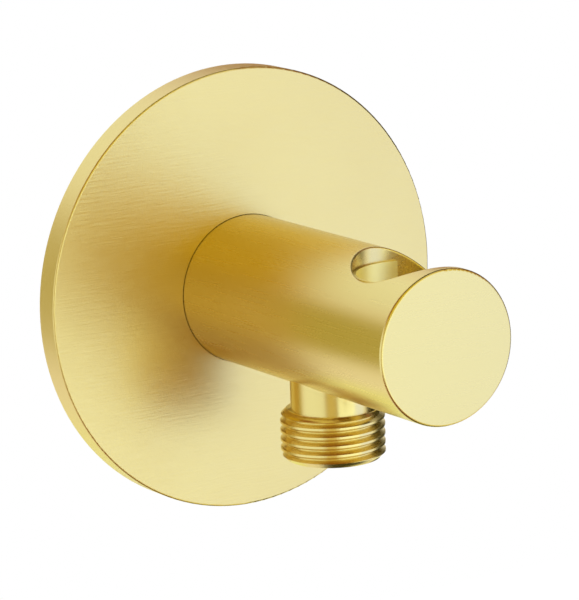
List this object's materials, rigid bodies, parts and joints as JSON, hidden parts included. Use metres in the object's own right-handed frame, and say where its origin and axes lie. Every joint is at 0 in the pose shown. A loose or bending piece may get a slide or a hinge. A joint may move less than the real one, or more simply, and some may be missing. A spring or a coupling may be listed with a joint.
{
  "type": "wall outlet elbow",
  "caption": "Round wall outlet elbow: flange, barrel with a side-slotted hand-shower holder pocket in its top, and a threaded hose outlet below.",
  "frame": {"origin": "where the barrel's axis meets the wall, at the root of the inlet thread", "axes": "+Y into the wall along the barrel's axis, -Z down along the hose outlet, +X towards the side that the hose slot opens on"},
  "size_m": [0.091, 0.089, 0.091],
  "materials": {
    "flange_gold": "brushed gold, fine straight grain",
    "barrel_gold": "brushed gold, satin",
    "outlet_gold": "gold, smooth turned",
    "liner_gold": "gold coloured moulding, satin",
    "plain_brass": "bare turned brass",
    "seal_rubber": "matt black"
  },
  "bodies": {
    "root": {"wall_flange": "flange_gold", "flange_o_ring": "seal_rubber", "barrel_body": "barrel_gold", "holder_liner": "liner_gold", "outlet_nipple": "outlet_gold", "outlet_o_ring": "seal_rubber", "inlet_nipple": "plain_brass", "inlet_washer": "seal_rubber"}
  },
  "joints": []
}
